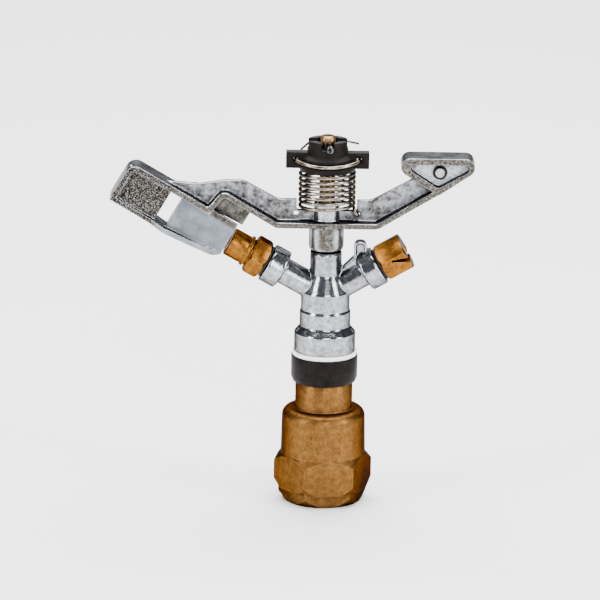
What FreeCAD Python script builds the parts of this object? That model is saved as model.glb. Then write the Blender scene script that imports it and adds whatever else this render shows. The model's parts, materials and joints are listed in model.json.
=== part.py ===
"""Impact sprinkler with a female 3/4 inch inlet, two nozzles and a sprung swing arm.

The origin is the centre of the inlet's bottom face. +Z runs up the bearing's axis, -X is the side of the
range nozzle and of the arm's head, and -Y is the front. All sizes are in millimetres and degrees.
"""
import FreeCAD, Part
import math
import os
import re

import Sketcher
from FreeCAD import Placement, Rotation, Vector

# How finely the bent wires are laid out in straight runs.
RUNS_PER_TURN = 24
HOOP_POINTS = 9
EYE_STEP = 30

# Each group names the cells that drive one stage of the stack, from the inlet up.
DIMENSIONS = {
    # how far a cutting tool stands proud of the face that it enters
    "tool_proud": 1.0,
    # inlet connector: a turned hexagon bar with a G 3/4 thread, drawn at its minor radius
    "thread_radius": 12.06,
    "thread_depth": 18.0,
    "skirt_flats": 29.0,
    "skirt_foot_radius": 14.4,
    "skirt_radius": 16.7,
    "skirt_bevel_top": 3.3,
    "skirt_top": 5.1,
    "hex_flats": 32.0,
    "hex_turn": 8.0,
    "hex_corner_radius": 18.5,
    "hex_bevel_top": 8.2,
    "hex_cone_bottom": 15.2,
    "hex_top": 18.4,
    "barrel_foot_radius": 15.85,
    "barrel_radius": 15.5,
    "barrel_top": 35.5,
    "barrel_round": 3.2,
    "neck_foot": 35.7,
    "neck_round": 0.5,
    "chamber_radius": 11.6,
    "chamber_top": 27.9,
    "neck_radius": 10.7,
    "neck_top": 47.5,
    "bearing_bore": 8.06,
    # bearing tube and the seals between its foot and the connector's ceiling
    "tube_radius": 8.0,
    "tube_bore": 6.0,
    "tube_top": 67.0,
    "foot_radius": 11.0,
    "foot_bottom": 20.0,
    "foot_top": 22.5,
    "seal_radius": 10.9,
    "seal_bore": 8.35,
    "slip_seal_bore": 8.02,
    "slip_seal_top": 24.0,
    "rubber_seal_bottom": 24.05,
    "rubber_seal_top": 26.5,
    # dust hood, its spring and the white washer
    "hood_radius": 12.4,
    "hood_lip_radius": 11.7,
    "hood_lip_bore": 11.05,
    "hood_bottom": 46.1,
    "hood_bevel_top": 48.0,
    "hood_ceiling": 54.9,
    "hood_top": 56.2,
    "hood_bore": 8.4,
    "bearing_wire": 1.5,
    "bearing_coil_radius": 9.4,
    "bearing_coil_turns": 2.5,
    "white_washer_radius": 12.0,
    "white_washer_top": 57.8,
    # body casting
    "bell_radius": 11.45,
    "bell_top": 65.0,
    "bell_cone_top": 67.3,
    "trunk_radius": 9.5,
    "trunk_step_z": 73.2,
    "trunk_top_radius": 9.1,
    "trunk_top": 80.5,
    "shoulder_top": 87.0,
    "post_radius": 5.9,
    "post_top": 95.4,
    "water_bore": 5.9,
    "water_top": 80.0,
    "fan_height": 79.3,
    "branch_radius": 5.0,
    "branch_bore": 3.4,
    "collar_radius": 7.4,
    "collar_round": 0.8,
    "socket_radius": 4.6,
    "socket_depth": 6.0,
    "range_lift": 28.8,
    "range_collar_start": 18.3,
    "range_collar_end": 24.9,
    "spreader_lift": 30.2,
    "spreader_collar_start": 16.6,
    "spreader_collar_end": 23.0,
    "ear_centre": 12.7,
    "ear_width": 4.8,
    "ear_depth": 4.4,
    "ear_bottom": 86.5,
    "ear_top": 100.0,
    "ear_round": 2.1,
    "ear_recess_round": 1.2,
    "ear_rim": 0.9,
    "ear_recess": 0.9,
    "ear_rib_start": 5.5,
    "ear_rib_foot": 89.2,
    "ear_rib_top": 94.0,
    # nozzles and their gaskets, measured along each branch
    "gasket_radius": 6.1,
    "gasket_thickness": 1.1,
    "stub_radius": 4.58,
    "stub_length": 5.4,
    "range_flats": 13.6,
    "range_hex_length": 5.9,
    "range_ring_radius": 6.0,
    "range_groove_radius": 5.2,
    "range_ring_length": 1.0,
    "range_barrel_radius": 5.4,
    "range_tip": 41.0,
    "range_bore": 3.2,
    "range_throat": 2.2,
    "range_hex_turn": 30.0,
    "spreader_flats": 13.4,
    "spreader_tip": 34.2,
    "spreader_bore": 1.6,
    "spreader_hex_turn": 20.0,
    "slot_start": 28.2,
    "slot_start_side": -0.9,
    "slot_upper_side": 1.6,
    "slot_lower_side": 3.9,
    "nozzle_bevel": 0.9,
    # fulcrum pin, thrust washer and bushes
    "pin_radius": 2.95,
    "pin_foot": 84.0,
    "pin_top": 139.8,
    "pin_bevel": 0.7,
    "pin_hole_height": 136.6,
    "pin_hole_radius": 1.0,
    "thrust_radius": 5.8,
    "thrust_top": 95.9,
    "bush_radius": 3.85,
    "bush_bore": 3.0,
    "lower_bush_top": 103.0,
    "upper_bush_bottom": 107.6,
    # swing arm
    "sleeve_radius": 6.5,
    "waist_bore": 3.3,
    "sleeve_bottom": 96.0,
    "sleeve_round": 2.2,
    "boss_radius": 4.8,
    "boss_top": 114.4,
    "flange_height": 106.6,
    "flange_thickness": 2.1,
    "flange_depth": 12.0,
    "web_thickness": 2.2,
    "web_top": 116.0,
    "pocket_radius": 11.2,
    "pocket_floor": 111.6,
    "hook_hole_x": 11.4,
    "hook_hole_z": 110.2,
    "hook_hole_radius": 0.95,
    "head_lift": 30.0,
    "bend_round": 3.0,
    "hook_round": 2.2,
    "notch_round": 1.3,
    "head_corner_round": 3.0,
    # coil spring, cap and split pin at the top
    "arm_wire": 1.3,
    "arm_coil_radius": 10.05,
    "arm_coil_bottom": 112.3,
    "arm_coil_pitch": 2.0,
    "arm_coil_turns": 6.75,
    "arm_coil_last_rise": 0.25,
    "arm_hoop_front": 10.3,
    "arm_hoop_height": 129.9,
    "arm_hook_front": 2.8,
    "arm_hook_back": 2.6,
    "arm_riser_start": 2.0,
    "arm_riser_side": 9.05,
    "arm_hoop_side": 3.05,
    "arm_hoop_end": 6.1,
    "arm_wire_bend": 1.5,
    "cap_bottom": 126.8,
    "cap_radius": 10.3,
    "cap_groove_bottom": 129.0,
    "cap_groove_top": 130.7,
    "cap_groove_radius": 9.35,
    "cap_shelf_radius": 10.0,
    "cap_shelf_top": 131.6,
    "crown_radius": 7.6,
    "crown_foot": 132.9,
    "crown_top": 138.2,
    "crown_well_radius": 4.6,
    "crown_well_floor": 135.4,
    "cap_bore": 3.05,
    "cap_hollow_radius": 8.2,
    "cap_hollow_top": 130.6,
    "notch_width": 4.6,
    "notch_floor": 135.4,
    "wing_reach": 15.4,
    "wing_root": 6.0,
    "wing_depth": 4.8,
    "wing_bottom": 127.7,
    "wing_top": 133.7,
    "wing_hole_x": 11.7,
    "wing_hole_z": 131.0,
    "wing_hole_radius": 1.0,
    "split_wire": 0.42,
    "split_eye_radius": 1.15,
    "split_eye_turn": 50.0,
    "split_legs_apart": 0.88,
    "split_bend": 0.85,
    "split_front": 9.2,
    "split_back": 8.6,
    "split_left_bend_x": 7.0,
    "split_left_bend_z": 134.9,
    "split_left_end_x": 10.0,
    "split_left_end_y": 7.4,
    "split_left_end_z": 132.4,
    "split_right_end_x": 11.55,
    "split_right_end_z": 134.7,
}

# Corners of the arm's web, in the row's XZ plane: x, z and the cell that rounds the corner.
WEB_CORNERS = {
    "web_a": (-18.1, 106.6, None),
    "web_b": (18.8, 106.6, None),
    "web_c": (40.6, 119.9, None),
    "web_d": (34.0, 125.3, None),
    "web_e": (16.4, 115.5, "web_round"),
    "web_f": (-18.3, 115.6, "web_round"),
    "web_g": (-30.6, 122.3, "web_round"),
    "web_h": (-38.0, 122.4, "web_round"),
    "web_i": (-46.9, 120.9, "web_round"),
    "web_j": (-57.5, 121.7, "web_round"),
    "web_k": (-63.4, 123.3, "web_round"),
    "web_l": (-69.8, 127.0, None),
    "web_m": (-43.4, 111.7, None),
    "web_n": (-31.2, 105.3, None),
    "web_o": (-27.6, 111.4, None),
}

# The lower rail of the arm's head, along the head and across it.
RAIL_CORNERS = {
    "rail_a": (-42.7, -5.2, None),
    "rail_b": (-54.0, -6.8, "web_round"),
    "rail_c": (-64.4, -7.8, "web_round"),
    "rail_d": (-70.5, -7.2, "web_round"),
    "rail_e": (-87.7, -6.8, None),
    "rail_f": (-87.7, -8.8, None),
    "rail_g": (-70.5, -9.0, "web_round"),
    "rail_h": (-64.4, -9.8, "web_round"),
    "rail_i": (-54.0, -8.9, "web_round"),
    "rail_j": (-44.4, -7.8, "corner_round"),
    "rail_k": (-42.7, -6.5, None),
}

# The vane beside the nozzle's tip and the spoon at the head's end, along the head and across its depth.
VANE_CORNERS = {
    "vane_a": (-41.9, -6.0, None),
    "vane_b": (-64.7, -2.9, None),
    "vane_c": (-64.7, -1.1, None),
    "vane_d": (-41.9, -4.3, None),
}
SPOON_CORNERS = {
    "spoon_a": (-69.4, -4.2, None),
    "spoon_b": (-79.0, -5.3, "spoon_round"),
    "spoon_c": (-87.7, -4.2, None),
    "spoon_d": (-87.7, -2.4, None),
    "spoon_e": (-79.0, -3.5, "spoon_round"),
    "spoon_f": (-69.4, -2.4, None),
}

# The wedge-shaped counterweight and the recess in each of its faces.
WEIGHT_CORNERS = {
    "weight_a": (18.9, 132.8, "weight_round"),
    "weight_b": (41.2, 118.8, "corner_round"),
    "weight_c": (61.8, 132.8, "weight_round"),
}
RECESS_CORNERS = {
    "recess_a": (27.0, 130.5, "recess_round"),
    "recess_b": (41.0, 121.6, "recess_round"),
    "recess_c": (56.6, 130.5, "recess_round"),
}

# The arm's two flange paths, from the hub outwards: corners of the centre line in the XZ plane.
LEFT_PATH = {
    "left_a": (-18.4, 106.6, "bend_round"),
    "left_b": (-38.2, 118.3, "hook_round"),
    "left_c": (-43.6, 111.8, "notch_round"),
    "left_d": (-71.9, 128.2, "head_corner_round"),
    "left_e": (-79.2, 115.9, None),
}
RIGHT_PATH = {
    "right_a": (18.7, 106.6, "bend_round"),
    "right_b": (45.5, 122.9, None),
}
SHAPE_SIZES = {
    "web_round": 4.0,
    "corner_round": 1.2,
    "weight_round": 3.3,
    "recess_round": 1.5,
    "spoon_round": 40.0,
    "weight_depth": 11.7,
    "recess_depth": 2.6,
    "weight_boss_x": 41.5,
    "weight_boss_z": 127.2,
    "weight_boss_radius": 2.2,
    "weight_boss_height": 1.4,
    "vane_bottom": -7.3,
    "vane_top": 7.3,
    "spoon_bottom": -8.9,
    "spoon_top": 6.4,
    "vane_cut_s": 41.0,
    "vane_cut_side": -4.9,
    "vane_cut_end": -44.6,
    "vane_cut_low": -10.5,
}
OUTLINES = (
    WEB_CORNERS,
    RAIL_CORNERS,
    VANE_CORNERS,
    SPOON_CORNERS,
    WEIGHT_CORNERS,
    RECESS_CORNERS,
    LEFT_PATH,
    RIGHT_PATH,
)

doc = FreeCAD.newDocument("impact_sprinkler")
sheet = doc.addObject("Spreadsheet::Sheet", "sizes")
parts = {}


# ---------------------------------------------------------------- the sheet and its expressions
def fill_sheet():
    """Write every driving dimension and every outline corner to its own named cell."""
    cells = dict(DIMENSIONS)
    cells.update(SHAPE_SIZES)
    for corners in OUTLINES:
        for name, (x, z, _) in corners.items():
            cells[name + "_x"] = x
            cells[name + "_z"] = z
    for row, (alias, value) in enumerate(cells.items(), 1):
        sheet.set("A%d" % row, alias)
        sheet.set("B%d" % row, str(value))
        sheet.setAlias("B%d" % row, alias)
    doc.recompute()


def size(alias):
    """The value of one cell."""
    return float(sheet.get(alias))


def bind(item, target, expression):
    """Tie a property of item to an expression in which every word but a function's name is a cell."""
    named = re.sub(r"[a-z][a-z_]+\b(?!\()", lambda word: "sizes." + word.group(), expression)
    item.setExpression(target, named)


def keep(label, item):
    """Record item as the finished sub-part called label."""
    item.Label = label
    parts[label] = item
    return item


# ---------------------------------------------------------------- sketches and bodies
def new_body(name):
    return doc.addObject("PartDesign::Body", name)


def attach(sketch, body, role, offset=None):
    """Put a sketch on one of its body's origin planes, moved by offset inside that plane."""
    plane = next(feature for feature in body.Origin.OriginFeatures if feature.Role == role)
    sketch.AttachmentSupport = (plane, [""])
    sketch.MapMode = "FlatFace"
    if offset is not None:
        sketch.AttachmentOffset = offset


def outline(body, name, role, points, closed=True, offset=None):
    """Sketch a run of straight lines through points, with arcs at the corners that name a radius.

    A point is an expression across, an expression up and, where the corner is round, the radius's cell.
    """
    sketch = body.newObject("Sketcher::SketchObject", name)
    attach(sketch, body, role, offset)
    count = len(points)
    angles = [2 * math.pi * i / count for i in range(count)]
    spots = [Vector(math.cos(angle), math.sin(angle), 0) for angle in angles]
    lines = count if closed else count - 1
    for i in range(lines):
        sketch.addGeometry(Part.LineSegment(spots[i], spots[(i + 1) % count]), False)
    for i in range(lines if closed else lines - 1):
        sketch.addConstraint(Sketcher.Constraint("Coincident", i, 2, (i + 1) % count, 1))
    for i, point in enumerate(points):
        line, end = (i, 1) if i < lines else (i - 1, 2)
        across = ("DistanceX", point[0], spots[i].x)
        upward = ("DistanceY", point[1], spots[i].y)
        for kind, expression, guess in (across, upward):
            index = sketch.addConstraint(Sketcher.Constraint(kind, line, end, guess))
            bind(sketch, "Constraints[%d]" % index, expression)
    doc.recompute()
    for i, point in enumerate(points):
        if len(point) > 2 and point[2]:
            round_corner(sketch, (i - 1) % count, i, point[2])
    doc.recompute()
    return sketch


def round_corner(sketch, before, after, radius_cell):
    """Replace the corner between two lines by an arc tangent to both."""
    middles = [(sketch.getPoint(line, 1) + sketch.getPoint(line, 2)) * 0.5 for line in (before, after)]
    arc = sketch.GeometryCount
    sketch.fillet(before, after, middles[0], middles[1], size(radius_cell), True, True)
    index = sketch.addConstraint(Sketcher.Constraint("Radius", arc, size(radius_cell)))
    bind(sketch, "Constraints[%d]" % index, radius_cell)


def corners(table):
    """The points of a named outline, as expressions over its own cells."""
    return [(name + "_x", name + "_z", radius) for name, (_, _, radius) in table.items()]


def circle(body, name, role, x, y, radius, offset=None):
    """Sketch one circle whose centre and radius are expressions."""
    sketch = body.newObject("Sketcher::SketchObject", name)
    attach(sketch, body, role, offset)
    sketch.addGeometry(Part.Circle(Vector(1, 1, 0), Vector(0, 0, 1), 1), False)
    for index, (kind, where, expression) in enumerate(
        (("DistanceX", (0, 3), x), ("DistanceY", (0, 3), y), ("Radius", (0,), radius))
    ):
        sketch.addConstraint(Sketcher.Constraint(kind, *where, 1))
        bind(sketch, "Constraints[%d]" % index, expression)
    return sketch


def pad(body, name, sketch, length, symmetric=True):
    feature = body.newObject("PartDesign::Pad", name)
    feature.Profile = sketch
    feature.SideType = "Symmetric" if symmetric else "One side"
    bind(feature, "Length", length)
    doc.recompute()
    return feature


def pocket(body, name, sketch, length, symmetric=True, reverse=False):
    """Cut a sketch into a body, and make sure that it took some material away."""
    before = body.Shape.Volume
    feature = body.newObject("PartDesign::Pocket", name)
    feature.Profile = sketch
    feature.SideType = "Symmetric" if symmetric else "One side"
    feature.Reversed = reverse
    bind(feature, "Length", length)
    doc.recompute()
    if body.Shape.Volume >= before:
        raise RuntimeError(name + " cuts nothing")
    return feature


def turn(body, name, points, cut=False):
    """Revolve a profile of radius and height round the body's Z axis, to add material or to cut it."""
    sketch = outline(body, name + "_profile", "XZ_Plane", points)
    before = body.Shape.Volume if cut else 0
    feature = body.newObject("PartDesign::Groove" if cut else "PartDesign::Revolution", name)
    feature.Profile = sketch
    feature.ReferenceAxis = (sketch, ["V_Axis"])
    feature.Angle = 360
    doc.recompute()
    if cut and body.Shape.Volume >= before:
        raise RuntimeError(name + " cuts nothing")
    return feature


def turned_part(label, points):
    """A sub-part that is one profile revolved round Z."""
    body = new_body(label)
    turn(body, label + "_turning", points)
    return keep(label, body)


def ring(label, bore, radius, bottom, top):
    """A plain washer or bush."""
    return turned_part(label, [(bore, bottom), (radius, bottom), (radius, top), (bore, top)])


# ---------------------------------------------------------------- Part primitives
def cylinder(name, radius, height, base="0"):
    item = doc.addObject("Part::Cylinder", name)
    bind(item, "Radius", radius)
    bind(item, "Height", height)
    bind(item, "Placement.Base.z", base)
    return item


def box(name, length, width, height, x, y, z):
    item = doc.addObject("Part::Box", name)
    for target, expression in (("Length", length), ("Width", width), ("Height", height)):
        bind(item, target, expression)
    for axis, expression in (("x", x), ("y", y), ("z", z)):
        bind(item, "Placement.Base." + axis, expression)
    return item


def hexagon(name, flats, height, base="0", turn_cell=None):
    """A hexagonal bar on the Z axis, given across its flats."""
    item = doc.addObject("Part::Prism", name)
    item.Polygon = 6
    item.setExpression("Circumradius", "sizes.%s / 2 / cos(30 deg)" % flats)
    bind(item, "Height", height)
    if turn_cell:
        item.Placement = Placement(Vector(0, 0, 0), Rotation(Vector(0, 0, 1), 1))
        bind(item, "Placement.Rotation.Angle", turn_cell)
    bind(item, "Placement.Base.z", base)
    return item


def fuse(name, *items):
    item = doc.addObject("Part::MultiFuse", name)
    item.Shapes = list(items)
    item.Refine = True
    return item


def cut(name, base, tool):
    item = doc.addObject("Part::Cut", name)
    item.Base = base
    item.Tool = tool
    item.Refine = True
    return item


def common(name, first, second):
    item = doc.addObject("Part::Common", name)
    item.Base = first
    item.Tool = second
    return item


def lay_on_branch(item, lift_cell, side):
    """Stand a part made along Z on a branch axis: side -1 is the range branch, +1 the spreader's."""
    item.Placement = Placement(Vector(0, 0, 0), Rotation(Vector(0, side, 0), 1))
    bind(item, "Placement.Base.z", "fan_height")
    bind(item, "Placement.Rotation.Angle", "90 - " + lift_cell)
    return item


# ---------------------------------------------------------------- inlet, bearing and hood
def make_inlet_connector():
    body = new_body("inlet_turning")
    turn(
        body,
        "inlet_envelope",
        [
            ("thread_radius", "0"),
            ("skirt_foot_radius", "0"),
            ("skirt_radius", "skirt_bevel_top"),
            ("skirt_radius", "skirt_top"),
            ("hex_corner_radius", "hex_bevel_top"),
            ("hex_corner_radius", "hex_cone_bottom"),
            ("barrel_foot_radius", "hex_top"),
            ("barrel_radius", "barrel_top", "barrel_round"),
            ("neck_radius", "neck_foot", "neck_round"),
            ("neck_radius", "neck_top"),
            ("bearing_bore", "neck_top"),
            ("bearing_bore", "chamber_top"),
            ("chamber_radius", "chamber_top"),
            ("chamber_radius", "thread_depth"),
            ("thread_radius", "thread_depth"),
        ],
    )
    skirt = hexagon("inlet_skirt_bar", "skirt_flats", "skirt_top", "0", "hex_turn")
    bar = hexagon("inlet_bar", "hex_flats", "neck_top - skirt_top", "skirt_top", "hex_turn")
    stock = fuse("inlet_stock", skirt, bar)
    return keep("inlet_connector", common("inlet_connector", body, stock))


def make_bearing():
    """The tube that turns inside the connector, with its two seals."""
    turned_part(
        "bearing_tube",
        [
            ("tube_bore", "foot_bottom"),
            ("foot_radius", "foot_bottom"),
            ("foot_radius", "foot_top"),
            ("tube_radius", "foot_top"),
            ("tube_radius", "tube_top"),
            ("tube_bore", "tube_top"),
        ],
    )
    ring("slip_seal", "slip_seal_bore", "seal_radius", "foot_top", "slip_seal_top")
    ring("rubber_seal", "seal_bore", "seal_radius", "rubber_seal_bottom", "rubber_seal_top")
    ring("ceiling_seal", "seal_bore", "seal_radius", "rubber_seal_top", "chamber_top")


def make_hood():
    turned_part(
        "dust_hood",
        [
            ("hood_lip_bore", "hood_bottom"),
            ("hood_lip_radius", "hood_bottom"),
            ("hood_radius", "hood_bevel_top"),
            ("hood_radius", "hood_top"),
            ("hood_bore", "hood_top"),
            ("hood_bore", "hood_ceiling"),
            ("hood_lip_bore", "hood_ceiling"),
        ],
    )
    ring("white_washer", "hood_bore", "white_washer_radius", "hood_top", "white_washer_top")


def make_bearing_spring():
    """A short compression spring between the connector's neck and the hood's ceiling."""
    wire = size("bearing_wire") / 2
    rise = size("hood_ceiling") - size("neck_top") - 2 * wire
    radius = size("bearing_coil_radius")
    coil = Part.makeHelix(rise / size("bearing_coil_turns"), rise, radius)
    path = Part.Wire(coil.Edges)
    section = Part.Wire(Part.makeCircle(wire, Vector(radius, 0, 0), Vector(0, 1, 0)))
    spring = doc.addObject("Part::Feature", "bearing_spring")
    spring.Shape = path.makePipeShell([section], True, True)
    spring.Placement = Placement(Vector(0, 0, size("neck_top") + wire), Rotation())
    return keep("bearing_spring", spring)


# ---------------------------------------------------------------- body casting
def branch(prefix, side):
    """One hollow branch of the casting with its threaded collar: the solid and the bore to cut."""
    lift = prefix + "_lift"
    end = prefix + "_collar_end"
    start = prefix + "_collar_start"
    neck = cylinder(prefix + "_neck", "branch_radius", end)
    body = new_body(prefix + "_collar")
    turn(
        body,
        prefix + "_collar_ring",
        [
            ("branch_radius - collar_round", start),
            ("collar_radius", start, "collar_round"),
            ("collar_radius", end, "collar_round"),
            ("branch_radius - collar_round", end),
        ],
    )
    solid = fuse(prefix + "_branch", neck, body)
    bore = cylinder(prefix + "_waterway", "branch_bore", end)
    socket_length = "socket_depth + tool_proud"
    socket = cylinder(prefix + "_socket", "socket_radius", socket_length, end + " - socket_depth")
    hollow = fuse(prefix + "_hollow", bore, socket)
    return lay_on_branch(solid, lift, side), lay_on_branch(hollow, lift, side)


def make_ear():
    """The round-topped ear on the spreader branch, recessed in front and ribbed back to the post."""
    body = new_body("ear")
    half = "ear_width / 2"
    left = "ear_centre - " + half
    right = "ear_centre + " + half
    body_sketch = outline(
        body,
        "ear_outline",
        "XZ_Plane",
        [
            ("ear_rib_start", "ear_bottom"),
            (right, "ear_bottom"),
            (right, "ear_top", "ear_round"),
            (left, "ear_top", "ear_round"),
            (left, "ear_rib_top"),
            ("ear_rib_start", "ear_rib_foot"),
        ],
    )
    pad(body, "ear_plate", body_sketch, "ear_depth")
    recess = outline(
        body,
        "ear_recess_outline",
        "XZ_Plane",
        [
            (left + " + ear_rim", "ear_bottom"),
            (right + " - ear_rim", "ear_bottom"),
            (right + " - ear_rim", "ear_top - ear_rim", "ear_recess_round"),
            (left + " + ear_rim", "ear_top - ear_rim", "ear_recess_round"),
        ],
        offset=Placement(Vector(0, 0, size("ear_depth") / 2), Rotation()),
    )
    bind(recess, "AttachmentOffset.Base.z", "ear_depth / 2")
    pocket(body, "ear_recess_cut", recess, "ear_recess", symmetric=False)
    return body


def make_body():
    trunk = new_body("trunk")
    turn(
        trunk,
        "trunk_turning",
        [
            ("0", "white_washer_top"),
            ("bell_radius", "white_washer_top"),
            ("bell_radius", "bell_top"),
            ("trunk_radius", "bell_cone_top"),
            ("trunk_radius", "trunk_step_z"),
            ("trunk_top_radius", "trunk_step_z"),
            ("trunk_top_radius", "trunk_top"),
            ("post_radius", "shoulder_top"),
            ("post_radius", "post_top"),
            ("0", "post_top"),
        ],
    )
    range_solid, range_hollow = branch("range", -1)
    spreader_solid, spreader_hollow = branch("spreader", 1)
    casting = fuse("casting", trunk, range_solid, spreader_solid, make_ear())
    tube_socket = cylinder("tube_socket", "tube_radius", "tube_top - white_washer_top", "white_washer_top")
    waterway = cylinder("trunk_waterway", "water_bore", "water_top - tube_top", "tube_top")
    pin_socket = cylinder("pin_socket", "pin_radius", "post_top - pin_foot", "pin_foot")
    hollows = fuse("casting_hollows", tube_socket, waterway, pin_socket, range_hollow, spreader_hollow)
    return keep("body", cut("body", casting, hollows))


# ---------------------------------------------------------------- nozzles
def make_gasket(prefix, side):
    end = prefix + "_collar_end"
    ring(prefix + "_gasket", "stub_radius", "gasket_radius", end, end + " + gasket_thickness")
    lay_on_branch(parts[prefix + "_gasket"], prefix + "_lift", side)


def make_range_nozzle():
    """Hexagon, ring groove and long straight barrel, bored to a throat at the tip."""
    seat = "range_collar_end + gasket_thickness"
    shoulder = seat + " + range_hex_length"
    bar_radius = "range_flats / 2 / cos(30)"
    body = new_body("range_turning")
    turn(
        body,
        "range_envelope",
        [
            ("range_bore", "range_collar_end - stub_length"),
            ("stub_radius", "range_collar_end - stub_length"),
            ("stub_radius", seat),
            (bar_radius + " - nozzle_bevel", seat),
            (bar_radius, seat + " + nozzle_bevel"),
            (bar_radius, shoulder + " - nozzle_bevel"),
            (bar_radius + " - nozzle_bevel", shoulder),
            ("range_groove_radius", shoulder),
            ("range_groove_radius", shoulder + " + range_ring_length"),
            ("range_ring_radius", shoulder + " + range_ring_length"),
            ("range_ring_radius", shoulder + " + 2 * range_ring_length"),
            ("range_groove_radius", shoulder + " + 2 * range_ring_length"),
            ("range_groove_radius", shoulder + " + 2.5 * range_ring_length"),
            ("range_barrel_radius", shoulder + " + 2.5 * range_ring_length"),
            ("range_barrel_radius", "range_tip - nozzle_bevel / 2"),
            ("range_barrel_radius - nozzle_bevel / 2", "range_tip"),
            ("range_throat", "range_tip"),
            ("range_throat", "range_tip - range_hex_length"),
            ("range_bore", "range_tip - 2 * range_hex_length"),
        ],
    )
    bar = hexagon("range_bar", "range_flats", "range_tip", "0", "range_hex_turn")
    nozzle = common("range_nozzle", body, bar)
    return keep("range_nozzle", lay_on_branch(nozzle, "range_lift", -1))


def make_spreader_nozzle():
    """A hexagonal plug with a small bore and a wedge-shaped slot that spreads the water close in."""
    seat = "spreader_collar_end + gasket_thickness"
    bar_radius = "spreader_flats / 2 / cos(30)"
    body = new_body("spreader_turning")
    turn(
        body,
        "spreader_envelope",
        [
            ("spreader_bore", "spreader_collar_end - stub_length"),
            ("stub_radius", "spreader_collar_end - stub_length"),
            ("stub_radius", seat),
            (bar_radius + " - nozzle_bevel", seat),
            (bar_radius, seat + " + nozzle_bevel"),
            (bar_radius, "spreader_tip - nozzle_bevel"),
            (bar_radius + " - nozzle_bevel", "spreader_tip"),
            ("spreader_bore", "spreader_tip"),
        ],
    )
    bar = hexagon("spreader_bar", "spreader_flats", "spreader_tip", "0", "spreader_hex_turn")
    blank = common("spreader_blank", body, bar)
    slot = new_body("spreader_slot")
    wedge = outline(
        slot,
        "spreader_slot_outline",
        "XZ_Plane",
        [
            ("slot_start_side", "slot_start"),
            ("slot_upper_side", "spreader_tip + tool_proud"),
            ("slot_lower_side", "spreader_tip + tool_proud"),
            ("slot_start_side + nozzle_bevel", "slot_start"),
        ],
    )
    pad(slot, "spreader_slot_wedge", wedge, "2 * spreader_flats")
    nozzle = cut("spreader_nozzle", blank, slot)
    return keep("spreader_nozzle", lay_on_branch(nozzle, "spreader_lift", 1))


# ---------------------------------------------------------------- fulcrum pin and bushes
def make_fulcrum():
    """The pin that the arm swings on, with a cross hole near its top, and the pieces threaded on it."""
    body = new_body("fulcrum_pin")
    turn(
        body,
        "pin_turning",
        [
            ("0", "pin_foot"),
            ("pin_radius", "pin_foot"),
            ("pin_radius", "pin_top - pin_bevel"),
            ("pin_radius - pin_bevel", "pin_top"),
            ("0", "pin_top"),
        ],
    )
    hole = circle(body, "pin_hole", "XZ_Plane", "0", "pin_hole_height", "pin_hole_radius")
    pocket(body, "pin_cross_hole", hole, "4 * pin_radius")
    keep("fulcrum_pin", body)
    ring("thrust_washer", "bush_bore", "thrust_radius", "post_top", "thrust_top")
    ring("lower_bush", "bush_bore", "bush_radius", "sleeve_bottom", "lower_bush_top")
    ring("upper_bush", "bush_bore", "bush_radius", "upper_bush_bottom", "boss_top")


# ---------------------------------------------------------------- swing arm
def head_offset_upright():
    """Sketch placement in the XZ plane: across is along the head, up is across its rails."""
    return Placement(Vector(0, size("fan_height"), 0), Rotation(Vector(0, 0, 1), -size("head_lift")))


def tie_head_offset(sketch):
    """Tie a sketch that lies in the head's own frame to the height and the lift of the head."""
    bind(sketch, "AttachmentOffset.Base.y", "fan_height")
    bind(sketch, "AttachmentOffset.Rotation.Angle", "360 - head_lift")


def head_plate(body, name, table, bottom, top):
    """A wall of the head: an outline seen along the rails' normal, padded from bottom to top."""
    sketch = outline(body, name + "_outline", "XY_Plane", corners(table))
    lift = Rotation(Vector(0, 1, 0), size("head_lift"))
    base = lift.multVec(Vector(0, 0, size(bottom))) + Vector(0, 0, size("fan_height"))
    sketch.AttachmentOffset = Placement(base, lift)
    bind(sketch, "AttachmentOffset.Base.x", bottom + " * sin(head_lift)")
    bind(sketch, "AttachmentOffset.Base.z", "fan_height + " + bottom + " * cos(head_lift)")
    bind(sketch, "AttachmentOffset.Rotation.Angle", "head_lift")
    return pad(body, name, sketch, top + " - " + bottom, symmetric=False)


def flange(body, name, table):
    """One side of the arm's flange: a flat strip swept from the hub along its bends."""
    points = [("0", "flange_height")] + corners(table)
    path = outline(body, name + "_path", "XZ_Plane", points, closed=False)
    half = "flange_depth / 2"
    low = "flange_height - flange_thickness / 2"
    high = "flange_height + flange_thickness / 2"
    strip_corners = [("0 - " + half, low), (half, low), (half, high), ("0 - " + half, high)]
    section = outline(body, name + "_section", "YZ_Plane", strip_corners)
    strip = body.newObject("PartDesign::AdditivePipe", name)
    strip.Profile = section
    strip.Spine = path
    strip.Transition = "Right corner"
    doc.recompute()
    return strip


def counterweight(body):
    sketch = outline(body, "weight_outline", "XZ_Plane", corners(WEIGHT_CORNERS))
    pad(body, "weight_block", sketch, "weight_depth")
    for name, side in (("front", 1), ("back", -1)):
        face = Placement(Vector(0, 0, side * size("weight_depth") / 2), Rotation())
        points = corners(RECESS_CORNERS)
        recess = outline(body, "recess_" + name + "_outline", "XZ_Plane", points, offset=face)
        bind(recess, "AttachmentOffset.Base.z", "%d * weight_depth / 2" % side)
        pocket(body, "recess_" + name, recess, "recess_depth", symmetric=False, reverse=side < 0)
    place = ("weight_boss_x", "weight_boss_z", "weight_boss_radius")
    boss = circle(body, "weight_boss_circle", "XZ_Plane", *place)
    pad(body, "weight_boss", boss, "weight_depth - 2 * (recess_depth - weight_boss_height)")


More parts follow.
